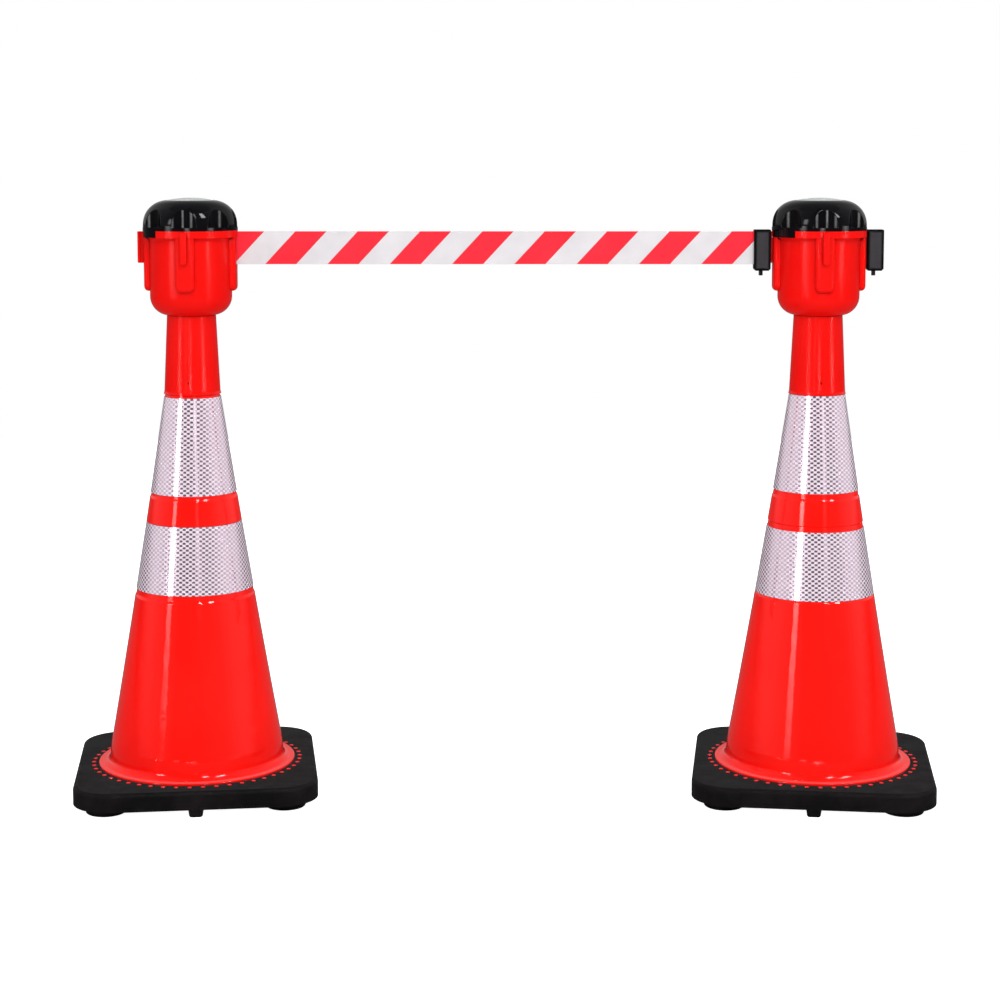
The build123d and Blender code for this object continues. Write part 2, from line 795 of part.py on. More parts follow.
# Clip at the belt's end: x runs from its belt side to the side that takes the next rail
with BuildPart() as clip_block:
    with BuildSketch(Plane.XZ) as clip_side:
        with Locations((clip_depth / 2, (clip_low + clip_high) / 2)):
            Rectangle(clip_depth, clip_height)
        chamfer(clip_side.vertices().group_by(Axis.Y)[0], clip_bevel)
        fillet(clip_side.vertices().group_by(Axis.Y)[-1], clip_round)
    extrude(amount=clip_width / 2, both=True)
    fillet(clip_block.faces().sort_by(Axis.Y)[0].edges(), clip_edge_round)
    fillet(clip_block.faces().sort_by(Axis.Y)[-1].edges(), clip_edge_round)
    channel_high = rail_top + clip_channel_clearance
    channel_depth = rail_head_depth + 2 * clip_channel_clearance
    channel_start = clip_depth - clip_lip - channel_depth
    with BuildSketch(Plane.XY.offset(clip_low)):
        with Locations((channel_start + channel_depth / 2, 0)):
            Rectangle(channel_depth, rail_head_width + 2 * clip_channel_clearance)
        with Locations(((channel_start + clip_depth) / 2, 0)):
            Rectangle(clip_depth - channel_start, rail_stem_width + 2 * clip_channel_clearance)
    extrude(amount=channel_high - clip_low, mode=Mode.SUBTRACT)
    pin_pocket = belt_pin_radius + belt_thickness + 2 * seat_clearance
    with BuildSketch(Plane.XY.offset(belt_low - spool_clearance)):
        with Locations((belt_pin_reach, 0)):
            Circle(pin_pocket)
        with Locations((belt_pin_reach / 2, 0)):
            Rectangle(belt_pin_reach, belt_slot_width)
    extrude(amount=belt_width + 2 * spool_clearance, mode=Mode.SUBTRACT)
    with BuildSketch(Plane.XY.offset(clip_low)):
        with Locations((button_reach, 0)):
            Circle(button_radius + button_clearance)
    extrude(amount=button_floor, mode=Mode.SUBTRACT)
    with BuildSketch(Plane.XY.offset(clip_low + button_floor)):
        with Locations((button_reach, 0)):
            Circle(button_flange_radius + button_clearance)
    extrude(amount=button_chamber_height, mode=Mode.SUBTRACT)
    for drop in clip_screw_drops:
        with BuildSketch(Plane.XZ.offset(-clip_width / 2)):
            with Locations((clip_screw_reach, clip_high - drop)):
                Circle(clip_screw_head_radius + seat_clearance)
        extrude(amount=clip_screw_head_height, mode=Mode.SUBTRACT)
        with BuildSketch(Plane.XZ.offset(-clip_width / 2)):
            with Locations((clip_screw_reach, clip_high - drop)):
                Circle(clip_screw_radius + seat_clearance)
        extrude(amount=clip_screw_length + seat_clearance, mode=Mode.SUBTRACT)

with BuildPart() as clip_front:
    add(clip_block.part)
    split(bisect_by=Plane.XZ, keep=Keep.TOP)

with BuildPart() as clip_back:
    add(clip_block.part)
    split(bisect_by=Plane.XZ, keep=Keep.BOTTOM)

# Screws that hold the clip's halves together, driven from the back
with BuildPart() as clip_screws:
    for drop in clip_screw_drops:
        with BuildSketch(Plane.XZ.offset(-clip_width / 2)):
            with Locations((clip_screw_reach, clip_high - drop)):
                Circle(clip_screw_head_radius)
        extrude(amount=clip_screw_head_height)
        with BuildSketch(Plane.XZ.offset(-clip_width / 2)):
            with Locations((clip_screw_reach, clip_high - drop)):
                Circle(clip_screw_radius)
        extrude(amount=clip_screw_length)

# Pin that the belt's sewn loop goes round
with BuildPart() as belt_pin:
    with BuildSketch(Plane.XY.offset(belt_low - spool_clearance)):
        with Locations((belt_pin_reach, 0)):
            Circle(belt_pin_radius)
    extrude(amount=belt_width + 2 * spool_clearance)

# Button that slides up into the clip against its coil spring
with BuildPart() as release_button:
    with BuildSketch(Plane.XY.offset(clip_low - button_drop)):
        with Locations((button_reach, 0)):
            Circle(button_radius)
    extrude(amount=button_drop + button_floor + button_clearance)
    fillet(release_button.faces().sort_by(Axis.Z)[0].edges(), button_round)
    with BuildSketch(Plane.XY.offset(clip_low + button_floor + button_clearance)):
        with Locations((button_reach, 0)):
            Circle(button_flange_radius)
    extrude(amount=button_flange_height)

with BuildPart() as button_spring:
    flange_top = clip_low + button_floor + button_clearance + button_flange_height
    chamber_top = clip_low + button_floor + button_chamber_height
    coil_low = flange_top + coil_wire + button_clearance
    coil_high = chamber_top - coil_wire - button_clearance
    coil_pitch = (coil_high - coil_low) / coil_turns
    with BuildLine():
        coil = Helix(coil_pitch, coil_high - coil_low, coil_radius, center=(button_reach, 0, coil_low))
    with BuildSketch(Plane(origin=coil @ 0, z_dir=coil % 0)):
        Circle(coil_wire)
    sweep(path=coil)

# Belt wound on each hub, and the belt from each reel to its clip
belts = {
    "left": (wound_radius(belt_length - belt_shown), left_clip_start),
    "right": (wound_radius(belt_length), clip_parked),
}


def wound_belt(roll_radius):
    """Belt on the hub, between the spool's flanges."""
    with BuildPart() as roll:
        with BuildSketch(Plane.XY.offset(belt_low)):
            Circle(roll_radius)
            Circle(hub_radius + seat_clearance, mode=Mode.SUBTRACT)
        extrude(amount=belt_width)
    return roll


def drawn_belt(roll_radius, clip_start):
    """Belt from its reel, through the guide, to its clip."""
    with BuildPart() as run:
        with BuildSketch(Plane.XY.offset(belt_low)):
            add(belt_outline(roll_radius, clip_start))
        extrude(amount=belt_width)
    return run


# Each unit's pieces at their places
unit_pieces = {
    "cone_shell": cone_shell,
    "sleeve": sleeve,
    "sleeve_screws": sleeve_screws,
    "axle_screw": axle_screw,
    "housing": housing,
    "axle": axle,
    "snap_ring": snap_ring,
    "spool": spool,
    "spring_cover": spring_cover,
    "lower_bush": lower_bush,
    "upper_bush": upper_bush,
    "power_spring": power_spring,
    "belt_guide": belt_guide,
    "cap": cap,
    "cap_disc": cap_disc,
}
clip_pieces = {
    "clip_front": clip_front,
    "clip_back": clip_back,
    "clip_screws": clip_screws,
    "belt_pin": belt_pin,
    "release_button": release_button,
    "button_spring": button_spring,
}

# How far above its seat's foot each collar lies: the upper one, then the lower one
collar_lifts = {
    "left": (left_upper_lift, lower_collar_play - collar_seat_depth - collar_clearance),
    "right": (upper_collar_play - collar_clearance, collar_seat_ramp + collar_end_gap),
}

os.makedirs("parts", exist_ok=True)


def write_piece(piece, node, spot):
    """Stand a piece at its place and write it under its own name."""
    placed = piece.part.moved(spot)
    placed.label = node
    export_step(placed, f"parts/{node}.step")


for unit, side in (("left", -1), ("right", 1)):
    axis_x = side * cone_spacing / 2
    roll_radius, clip_start = belts[unit]
    spot = Location((axis_x, 0, 0))
    clip_spot = Location((axis_x + clip_start, 0, 0))
    write_piece(base, f"{unit}_base", Location((axis_x, 0, 0), (0, 0, -side * base_turn)))
    for name, piece in unit_pieces.items():
        write_piece(piece, f"{unit}_{name}", spot)
    upper_lift, lower_lift = collar_lifts[unit]
    upper_collar = collar(upper_seat_low + upper_lift, upper_collar_height)
    lower_collar = collar(lower_seat_low + lower_lift, lower_collar_height)
    write_piece(upper_collar, f"{unit}_upper_collar", spot)
    write_piece(lower_collar, f"{unit}_lower_collar", spot)
    write_piece(wound_belt(roll_radius), f"{unit}_belt_roll", spot)
    write_piece(drawn_belt(roll_radius, clip_start), f"{unit}_belt", spot)
    for name, piece in clip_pieces.items():
        write_piece(piece, f"{unit}_{name}", clip_spot)
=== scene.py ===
"""Looks of a belt barrier on two traffic cones: finishes, belts, collars, pegs, springs, light, camera.

Lengths are in metres and angles in degrees. A unit's own pieces are shaped round its upright axis,
which is read from the frame, as are the heights that they keep to.
"""

import json
import math

import bmesh
import bpy
import numpy as np
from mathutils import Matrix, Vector


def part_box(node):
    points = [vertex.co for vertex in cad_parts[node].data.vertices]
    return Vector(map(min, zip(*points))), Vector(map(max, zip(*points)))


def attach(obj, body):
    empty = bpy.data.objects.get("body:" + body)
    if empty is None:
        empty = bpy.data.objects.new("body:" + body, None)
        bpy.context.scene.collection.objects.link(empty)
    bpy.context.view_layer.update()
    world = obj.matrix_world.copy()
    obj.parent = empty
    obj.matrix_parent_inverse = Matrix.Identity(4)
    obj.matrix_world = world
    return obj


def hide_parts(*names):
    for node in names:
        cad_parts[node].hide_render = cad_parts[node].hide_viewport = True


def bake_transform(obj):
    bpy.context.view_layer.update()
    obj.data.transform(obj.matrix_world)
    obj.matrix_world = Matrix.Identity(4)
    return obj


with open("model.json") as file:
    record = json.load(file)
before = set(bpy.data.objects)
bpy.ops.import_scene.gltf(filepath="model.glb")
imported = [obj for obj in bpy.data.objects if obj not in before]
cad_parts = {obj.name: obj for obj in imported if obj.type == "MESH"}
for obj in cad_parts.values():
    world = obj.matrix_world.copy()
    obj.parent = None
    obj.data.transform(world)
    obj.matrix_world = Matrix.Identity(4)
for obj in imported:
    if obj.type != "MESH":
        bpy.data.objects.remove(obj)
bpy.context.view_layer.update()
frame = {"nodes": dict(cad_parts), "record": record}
nodes = frame["nodes"]
scene = bpy.context.scene
scene.view_settings.view_transform = "Standard"

# Where the frame puts things
units = ("left", "right")
axis_x = {}
for unit in units:
    cone_low, cone_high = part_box(f"{unit}_cone_shell")
    axis_x[unit] = (cone_low.x + cone_high.x) / 2
base_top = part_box("left_base")[1].z
belt_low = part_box("left_belt")[0].z
belt_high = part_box("left_belt")[1].z
belt_width = belt_high - belt_low
clip_x = {unit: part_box(f"{unit}_clip_front")[0].x for unit in units}
clip_low, clip_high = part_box("left_clip_front")
clip_face = (clip_high.x - clip_low.x, clip_high.z - clip_low.z)

# Camera that the photograph was taken from
camera_place = (-0.007, -3.17, 0.93)
camera_pitch = 5.5
camera_lens = 78.1
camera_sensor = 36.0
camera_rise = -0.1327

# Belt
belt_thickness = 0.0008
belt_edge_round = 0.0003
belt_stripe_period = 0.0910
belt_stripe_lean = 0.93
belt_first_edge = 0.1077
belt_pull_length = 1.9
right_pull_length = 2.6
belt_tuck_start = 0.049
belt_tuck_end = 0.062
belt_tail_length = 0.55
belt_in_clip = 0.0012
belt_parked_end = 0.002
belt_rows_step = 0.01
belt_stripe_blur = 0.002
belt_border_width = 0.016
thread_pitch = 0.0011
pick_pitch = 0.0016

# Belt wound on each hub
hub_radius = 0.0181
roll_gap = 0.00006
roll_points_per_turn = 72

# Coil spring over each button
coil_wire = 0.00035
coil_turns = 5
coil_points_per_turn = 24
coil_wire_sides = 10

# Flat spiral spring in each reel, and the hook that holds its inner end in the axle
spiral_strip = 0.0008
spiral_edge_round = 0.0002
spiral_start = 0.009
spiral_turns = 7
hook_start = 0.0005
hook_gap = 0.0002

# Reflective collars
collar_thickness = 0.0009
collar_segments = 192
collar_rows = 24
collar_ring_reach = 0.0001
cell_width = 0.0094
cell_height = 0.0066

# Pegs that show round the cone's foot
peg_count = 50
peg_circle = 0.152
peg_radius = 0.0032
peg_rise = 0.0008
peg_segments = 16
peg_rings = 10

# Where the painted shade along a clip's edges fades into its face, measured in from its outline
painted_edge_reach = (0.0024, 0.005)

# How far the painted shade in a crease darkens the plastic beside it, and in how many samples
painted_shade_reach = 0.007
painted_shade_samples = 8

# Meshes: edges past this angle stay sharp, and points this close are one
sharp_angle = 40
weld_reach = 1e-6

# Bright panels of the room that gloss mirrors: azimuth, half width and softness of the sides, then
# the elevations where each panel starts, is fully bright, starts to fade and ends, and its brightness
panels = {
    "left_wall": (-109.0, 78.0, 14.0, -1.0, 1.5, 94.0, 95.0, 0.36),
    "left_bay": (-100.0, 38.0, 28.0, -2.0, 1.0, 58.0, 62.0, 0.5),
    "right_wall": (130.0, 90.0, 60.0, -1.0, 1.5, 94.0, 95.0, 0.36),
    "right_bay": (100.0, 38.0, 28.0, -2.0, 1.0, 58.0, 62.0, 0.5),
    "left": (-42.0, 4.5, 1.5, 3.0, 8.0, 25.0, 28.0, 15.0),
    "left_wide": (-42.0, 6.5, 2.0, 7.2, 8.4, 25.0, 28.0, 5.0),
    "left_low": (-38.0, 6.0, 1.5, -30.0, -20.0, -5.5, -2.5, 4.0),
    "front_low": (15.5, 4.0, 3.0, 6.5, 10.5, 13.0, 16.0, 2.0),
    "front": (20.0, 4.0, 1.0, 34.0, 36.0, 54.0, 57.0, 44.0),
    "right": (45.0, 5.5, 1.0, 34.0, 36.0, 54.0, 57.0, 52.0),
    "cap_middle": (0.0, 3.8, 7.0, -2.0, -1.75, -0.9, -0.3, 52.0),
    "cap_left": (58.0, 5.5, 10.0, -2.0, -1.75, -0.9, -0.3, 34.0),
    "cap_right": (-47.0, 5.5, 10.0, -2.0, -1.75, -0.9, -0.3, 36.0),
    "sleeve": (-20.0, 3.0, 2.0, -0.3, 0.3, 1.2, 2.2, 6.0),
}

# The room without its panels: how far back a ray heads where the change starts and ends, and how
# bright the room is there, for gloss and for soft light
gloss_room = (0.15, 0.85, 0.03, 0.15)
soft_room = (-0.4, 0.9, 0.9, 0.45)

# Big soft light in front: azimuth, elevation, distance, width, height and brightness
front_light = (8, 36, 3.6, 2.6, 1.8, 5.0)
front_light_target = (0.0, 0.0, 0.5)

# Floor, with the grey that soft light and gloss find there, and the white that the camera sees
floor_reach = 4.0
floor_grey = (0.85, 0.85, 0.85, 1.0)
floor_grey_in_gloss = (0.2, 0.2, 0.2, 1.0)
white = (1.0, 1.0, 1.0, 1.0)


class Sheet:
    """A node tree with short calls: a socket given as an input is linked, anything else is set."""

    def __init__(self, tree):
        self.tree = tree

    def feed(self, socket, value):
        if isinstance(value, bpy.types.NodeSocket):
            self.tree.links.new(value, socket)
        else:
            socket.default_value = value

    def add(self, kind, inputs=None, **settings):
        node = self.tree.nodes.new(kind)
        for name, value in settings.items():
            setattr(node, name, value)
        for key, value in (inputs or {}).items():
            self.feed(node.inputs[key], value)
        return node

    def maths(self, operation, *values):
        inputs = dict(enumerate(values))
        return self.add("ShaderNodeMath", inputs, operation=operation).outputs[0]

    def span(self, value, low, high, to_low=0.0, to_high=1.0):
        inputs = {0: value, 1: low, 2: high, 3: to_low, 4: to_high}
        return self.add("ShaderNodeMapRange", inputs).outputs[0]


class Finish(Sheet):
    """One material: a principled surface and the nodes that vary it."""

    def __init__(self, name):
        self.material = bpy.data.materials.new(name)
        self.material.use_nodes = True
        super().__init__(self.material.node_tree)
        self.surface = self.tree.nodes["Principled BSDF"]

    def set(self, **sockets):
        for name, value in sockets.items():
            self.feed(self.surface.inputs[name.replace("_", " ")], value)

    def place(self, output="Object"):
        return self.add("ShaderNodeTexCoord").outputs[output]

    def noise(self, scale, detail=2.0, rough=0.5):
        inputs = {"Scale": scale, "Detail": detail, "Roughness": rough, "Vector": self.place()}
        return self.add("ShaderNodeTexNoise", inputs).outputs["Fac"]

    def mix(self, factor, first, second):
        node = self.add("ShaderNodeMix", data_type="RGBA")
        self.feed(node.inputs[0], factor)
        self.feed(node.inputs[6], first)
        self.feed(node.inputs[7], second)
        return node.outputs[2]

    def bump(self, height, distance, strength=1.0):
        inputs = {"Height": height, "Distance": distance, "Strength": strength}
        self.feed(self.surface.inputs["Normal"], self.add("ShaderNodeBump", inputs).outputs[0])


def colour(red, green, blue):
    """Linear colour from screen values of 0 to 255."""
    shares = [value / 255 for value in (red, green, blue)]
    linear = [s / 12.92 if s <= 0.04045 else ((s + 0.055) / 1.055) ** 2.4 for s in shares]
    return (*linear, 1.0)


def moulded_plastic(name, main, shade, painted_crease_shade, rough, specular, grain):
    """Coloured moulding: faint flow marks in its colour, painted shade in its creases and a fine grain.
    """
    finish = Finish(name)
    flow = finish.noise(scale=9.0, detail=3.0)
    tone = finish.mix(finish.span(flow, 0.35, 0.65), main, shade)
    # Painted shade: ambient occlusion turns the colour toward the crease colour in creases and corners
    reach = {"Distance": painted_shade_reach}
    open_sky = finish.add("ShaderNodeAmbientOcclusion", reach, samples=painted_shade_samples).outputs["AO"]
    finish.set(Base_Color=finish.mix(finish.span(open_sky, 0.2, 0.8), painted_crease_shade, tone))
    smear = finish.noise(scale=30.0, detail=4.0, rough=0.6)
    finish.set(Roughness=finish.span(smear, 0.3, 0.7, rough - 0.03, rough + 0.04))
    finish.set(Specular_IOR_Level=specular)
    finish.bump(finish.noise(scale=900.0), distance=grain, strength=0.35)
    return finish.material


def base_rubber():
    """Matte black rubber, a little grey with dust."""
    finish = Finish("base_rubber")
    dust = finish.span(finish.noise(scale=14.0, detail=6.0, rough=0.65), 0.42, 0.72)
    finish.set(Base_Color=finish.mix(dust, colour(13, 12, 13), colour(27, 23, 24)))
    finish.set(Roughness=finish.span(dust, 0.0, 1.0, 0.5, 0.72))
    finish.set(Specular_IOR_Level=0.05)
    finish.bump(finish.noise(scale=420.0, detail=4.0, rough=0.6), distance=0.0002, strength=0.5)
    return finish.material


def collar_sheeting():
    """Silver sheeting under a clear film, with rows of small mirror cells."""
    finish = Finish("collar_sheeting")
    split = finish.add("ShaderNodeSeparateXYZ", {0: finish.place("UV")})
    across = finish.maths("DIVIDE", split.outputs[0], cell_width)
    along = finish.maths("DIVIDE", split.outputs[1], cell_height)
    waves = []
    for diagonal in (finish.maths("ADD", across, along), finish.maths("SUBTRACT", across, along)):
        turn = finish.maths("MULTIPLY", diagonal, 2 * math.pi)
        waves.append(finish.maths("COSINE", turn))
    cell = finish.span(finish.maths("ADD", *waves), -0.5, 0.6)
    finish.set(Base_Color=finish.mix(cell, colour(221, 205, 218), colour(206, 185, 200)))
    finish.set(Metallic=finish.maths("MULTIPLY", cell, 0.85))
    finish.set(Roughness=finish.span(cell, 0.0, 1.0, 0.5, 0.08))
    finish.set(Specular_IOR_Level=0.1)
    finish.set(Coat_Weight=0.5)
    finish.set(Coat_Roughness=0.03)
    return finish.material


def cap_plastic():
    """Glossy black moulding with faint handling marks."""
    finish = Finish("cap_plastic")
    marks = finish.noise(scale=40.0, detail=5.0, rough=0.6)
    finish.set(Base_Color=finish.mix(marks, colour(9, 8, 10), colour(15, 14, 17)))
    finish.set(Roughness=finish.span(marks, 0.35, 0.7, 0.06, 0.1))
    finish.set(Specular_IOR_Level=0.08)
    finish.bump(finish.noise(scale=260.0), distance=0.00005, strength=0.25)
    return finish.material


def disc_plastic():
    """Pale grey disc with a fine satin grain."""
    finish = Finish("disc_plastic")
    grain = finish.noise(scale=500.0, detail=3.0)
    finish.set(Base_Color=finish.mix(grain, colour(176, 180, 178), colour(200, 203, 201)))
    finish.set(Roughness=finish.span(grain, 0.3, 0.7, 0.36, 0.5))
    finish.bump(grain, distance=0.00005, strength=0.3)
    return finish.material


def satin_plastic(name, main, shade, painted_edge_shade=None):
    """Moulding with a fine satin grain, and with painted shade darkening it toward its outline where an
    edge shade is given.
    """
    finish = Finish(name)
    grain = finish.noise(scale=1100.0, detail=3.0, rough=0.6)
    tone = finish.mix(finish.noise(scale=60.0, detail=3.0), main, shade)
    finish.set(Specular_IOR_Level=0.4)
    if painted_edge_shade:
        # Painted shade: colour darkens and gloss drops toward the outline of a clip's face
        split = finish.add("ShaderNodeSeparateXYZ", {0: finish.place("UV")})
        sides = []
        for inward, size in zip(split.outputs, clip_face):
            sides.append(finish.maths("MINIMUM", inward, finish.maths("SUBTRACT", size, inward)))
        inset = finish.maths("MINIMUM", *sides)
        tone = finish.mix(finish.span(inset, *painted_edge_reach), painted_edge_shade, tone)
        finish.set(Specular_IOR_Level=finish.span(inset, *painted_edge_reach, 0.05, 0.4))
    finish.set(Base_Color=tone)
    finish.set(Roughness=finish.span(grain, 0.3, 0.7, 0.4, 0.56))
    finish.bump(grain, distance=0.00008, strength=0.5)
    return finish.material


def belt_webbing():
    """Woven webbing in red and white slanted stripes, with its threads as fine relief."""
    finish = Finish("belt_webbing")
    split = finish.add("ShaderNodeSeparateXYZ", {0: finish.place("UV")})
    along, down = split.outputs[0], split.outputs[1]
    lean = finish.maths("MULTIPLY", down, belt_stripe_lean)
    slant = finish.maths("SUBTRACT", finish.maths("ADD", along, lean), belt_first_edge)
    share = finish.maths("FRACT", finish.maths("DIVIDE", slant, belt_stripe_period))
    stripe = finish.span(share, 0.5 - belt_stripe_blur, 0.5 + belt_stripe_blur)
    from_border = finish.maths("PINGPONG", share, 0.25)
    shade = finish.span(finish.noise(scale=26.0, detail=3.0), 0.3, 0.7)
    red = finish.mix(shade, colour(244, 36, 54), colour(232, 29, 47))
    red = finish.mix(finish.span(from_border, 0.0, belt_border_width), colour(180, 20, 38), red)
    pale = finish.mix(shade, colour(212, 209, 212), colour(202, 199, 202))
    finish.set(Base_Color=finish.mix(stripe, pale, red))
    finish.set(Roughness=0.62)
    finish.set(Specular_IOR_Level=0.25)
    finish.set(Sheen_Weight=0.15)
    warp = finish.maths("SINE", finish.maths("MULTIPLY", down, 2 * math.pi / thread_pitch))
    weft = finish.maths("SINE", finish.maths("MULTIPLY", along, 2 * math.pi / pick_pitch))
    finish.bump(finish.maths("MULTIPLY", warp, weft), distance=0.00012, strength=0.6)
    return finish.material


def bright_metal(name, main, rough):
    """Plain steel with fine drawn marks."""
    finish = Finish(name)
    drawn = finish.noise(scale=700.0, detail=4.0)
    darker = tuple(0.8 * part for part in main[:3]) + (1.0,)
    finish.set(Base_Color=finish.mix(drawn, main, darker))
    finish.set(Metallic=1.0)
    finish.set(Roughness=finish.span(drawn, 0.3, 0.7, rough - 0.06, rough + 0.08))
    return finish.material


finishes = {
    "base_rubber": base_rubber(),
    # Each moulding's third colour is the painted shade in its creases
    "cone_plastic": moulded_plastic(
        "cone_plastic", colour(250, 25, 18), colour(246, 21, 15), colour(150, 7, 6),
        rough=0.045, specular=0.18, grain=0.00001,
    ),
    "collar_sheeting": collar_sheeting(),
    "topper_plastic": moulded_plastic(
        "topper_plastic", colour(229, 16, 12), colour(223, 14, 10), colour(150, 7, 6),
        rough=0.15, specular=0.1, grain=0.00002,
    ),
    "cap_plastic": cap_plastic(),
    "disc_plastic": disc_plastic(),
    # The clip's near-black edge colour is painted shade along its outline
    "clip_plastic": satin_plastic(
        "clip_plastic", colour(46, 45, 49), colour(40, 39, 43), painted_edge_shade=colour(6, 6, 7)),
    "button_plastic": satin_plastic("button_plastic", colour(22, 21, 24), colour(16, 15, 18)),
    "belt_webbing": belt_webbing(),
    "reel_plastic": satin_plastic("reel_plastic", colour(66, 66, 70), colour(56, 56, 60)),
    "bush_plastic": satin_plastic("bush_plastic", colour(226, 224, 216), colour(212, 210, 200)),
    "steel": bright_metal("steel", (0.62, 0.62, 0.63, 1.0), rough=0.3),
    "spring_steel": bright_metal("spring_steel", (0.36, 0.37, 0.4, 1.0), rough=0.26),
}

# Every solid takes the finish of its slot
for subpart in frame["record"]["subparts"]:
    solid = nodes[subpart["node"]]
    solid.data.materials.clear()
    solid.data.materials.append(finishes[subpart["material_slot"]])

# The collars' cells don't mirror the other cone
for unit in units:
    nodes[f"{unit}_cone_shell"].visible_glossy = False


def map_clip_face(node):
    """Lay a clip half's texture coordinates out as metres from the corner of its front."""
    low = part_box(node)[0]
    mesh = nodes[node].data
    layer = mesh.uv_layers.new(name="UVMap")
    for loop in mesh.loops:
        spot = mesh.vertices[loop.vertex_index].co
        layer.data[loop.index].uv = (spot.x - low.x, spot.z - low.z)


for unit in units:
    map_clip_face(f"{unit}_clip_front")
    map_clip_face(f"{unit}_clip_back")


def new_piece(name, vertices, faces, slot, corners):
    """A smooth mesh object with its finish, and texture coordinates for each vertex."""
    mesh = bpy.data.meshes.new(name)
    mesh.from_pydata([tuple(v) for v in vertices], [], faces)
    layer = mesh.uv_layers.new(name="UVMap")
    for loop in mesh.loops:
        layer.data[loop.index].uv = corners[loop.vertex_index]
    mesh.polygons.foreach_set("use_smooth", [True] * len(mesh.polygons))
    mesh.materials.append(finishes[slot])
    mesh.update()
    piece = bpy.data.objects.new(name, mesh)
    scene.collection.objects.link(piece)
    return piece


def close_seam(mesh):
    """Weld the two ends of a ring, and turn every face outwards."""
    work = bmesh.new()
    work.from_mesh(mesh)
    bmesh.ops.remove_doubles(work, verts=work.verts, dist=weld_reach)
    bmesh.ops.recalc_face_normals(work, faces=work.faces)
    work.to_mesh(mesh)
    work.free()
    mesh.set_sharp_from_angle(angle=math.radians(sharp_angle))


def strip_section(thickness, height, inset):
    """Points round a strip's cross-section, as (across its face, height above its lower edge)."""
    half = thickness / 2
    return [
        (-half, inset), (-half, height / 3), (-half, height * 2 / 3), (-half, height - inset),
        (-half + inset, height), (half - inset, height),
        (half, height - inset), (half, height * 2 / 3), (half, height / 3), (half, inset),
        (half - inset, 0.0), (-half + inset, 0.0),
    ]


def straight_strip(name, slot, low, high, section, stations, lengths):
    """A strip on edge through stations along X, each with its own length along the strip."""
    count = len(section)
    vertices, corners, faces = [], [], []
    for x, length in zip(stations, lengths):
        for across, height in section:
            vertices.append((x, across, low + height))
            corners.append((length, high - low - height))
    for row in range(len(stations) - 1):
        for place in range(count):
            here, after = row * count + place, row * count + (place + 1) % count
            faces.append((here, here + count, after + count, after))
    faces.append(tuple(range(count)))
    last = (len(stations) - 1) * count
    faces.append(tuple(reversed(range(last, last + count))))
    piece = new_piece(name, vertices, faces, slot, corners)
    piece.data.set_sharp_from_angle(angle=math.radians(sharp_angle))
    return piece


def belt_strip(name, stations, lengths):
    """A straight run of belt, with its lengths along the webbing."""
    section = strip_section(belt_thickness, belt_width, belt_edge_round)
    return straight_strip(name, "belt_webbing", belt_low, belt_high, section, stations, lengths)


def even_steps(start, end, step):
    """Stations from start to end, about one step apart."""
    return list(np.linspace(start, end, max(2, round((end - start) / step) + 1)))


def left_belts():
    """The belt between the units: a run that leaves the left mouth, and the tail at the clip."""
    start = axis_x["left"] + belt_tuck_start
    end = axis_x["left"] + belt_tuck_end
    split = clip_x["left"] - belt_tail_length
    tail_end = clip_x["left"] + belt_in_clip
    visible = even_steps(end, split, belt_rows_step)
    lengths = [x - axis_x["left"] for x in visible]
    tucked = lengths[0] - (belt_tuck_end - belt_tuck_start) - belt_pull_length
    run = belt_strip("left_belt_run", [start] + visible, [tucked] + lengths)
    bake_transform(run)
    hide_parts("left_belt")
    tail_stations = even_steps(split, tail_end, belt_rows_step)
    tail = belt_strip("left_belt_tail", tail_stations, [x - axis_x["left"] for x in tail_stations])
    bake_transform(tail)


def right_belt():
    """The parked belt: a short tuck that its clip draws out of the mouth."""
    start = axis_x["right"] + belt_tuck_start
    tuck_end = clip_x["right"] - belt_parked_end
    end = clip_x["right"] + belt_in_clip
    lengths = [0.0, right_pull_length, right_pull_length + belt_parked_end + belt_in_clip]
    piece = belt_strip("right_belt_run", [start, tuck_end, end], lengths)
    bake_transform(piece)
    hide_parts("right_belt")


left_belts()
right_belt()


def outer_wall(node):
    """Lowest and highest rings of a turned solid's outer face: their heights and radii."""
    points = np.array([v.co for v in nodes[node].data.vertices])
    middle = axis_x[node.split("_")[0]]
    radii = np.hypot(points[:, 0] - middle, points[:, 1])
    low, high = points[:, 2].min(), points[:, 2].max()
    bottom = radii[points[:, 2] < low + collar_ring_reach].max()
    top = radii[points[:, 2] > high - collar_ring_reach].max()
    return low, high, bottom, top


def collar(unit, which):
    """A collar as a thin shell, with its outer face laid out flat for the cell pattern."""
    node = f"{unit}_{which}"
    low, high, bottom, top = outer_wall(node)
    slant = math.hypot(bottom - top, high - low)
    narrowing = (bottom - top) / slant
    apex = bottom / narrowing
    shares = np.linspace(0.0, 1.0, collar_rows + 1)
    rows = [(share, 0.0) for share in shares]
    rows += [(share, collar_thickness) for share in reversed(shares)]
    vertices, corners, faces = [], [], []
    ring = collar_segments + 1
    for share, depth in rows:
        radius = bottom + (top - bottom) * share - depth
        reach = apex - slant * share
        for step in range(ring):
            turn = 2 * math.pi * step / collar_segments
            x = axis_x[unit] + radius * math.sin(turn)
            vertices.append((x, radius * math.cos(turn), low + (high - low) * share))
            fan = (turn - math.pi) * narrowing
            corners.append((reach * math.sin(fan), -reach * math.cos(fan)))
    for row in range(len(rows)):
        after = (row + 1) % len(rows)
        for step in range(collar_segments):
            here, above = row * ring + step, after * ring + step
            faces.append((here, above, above + 1, here + 1))
    piece = new_piece(f"{node}_sheet", vertices, faces, "collar_sheeting", corners)
    close_seam(piece.data)
    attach(piece, f"{unit}_cone")
    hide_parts(node)


for unit in units:
    for which in ("upper_collar", "lower_collar"):
        collar(unit, which)


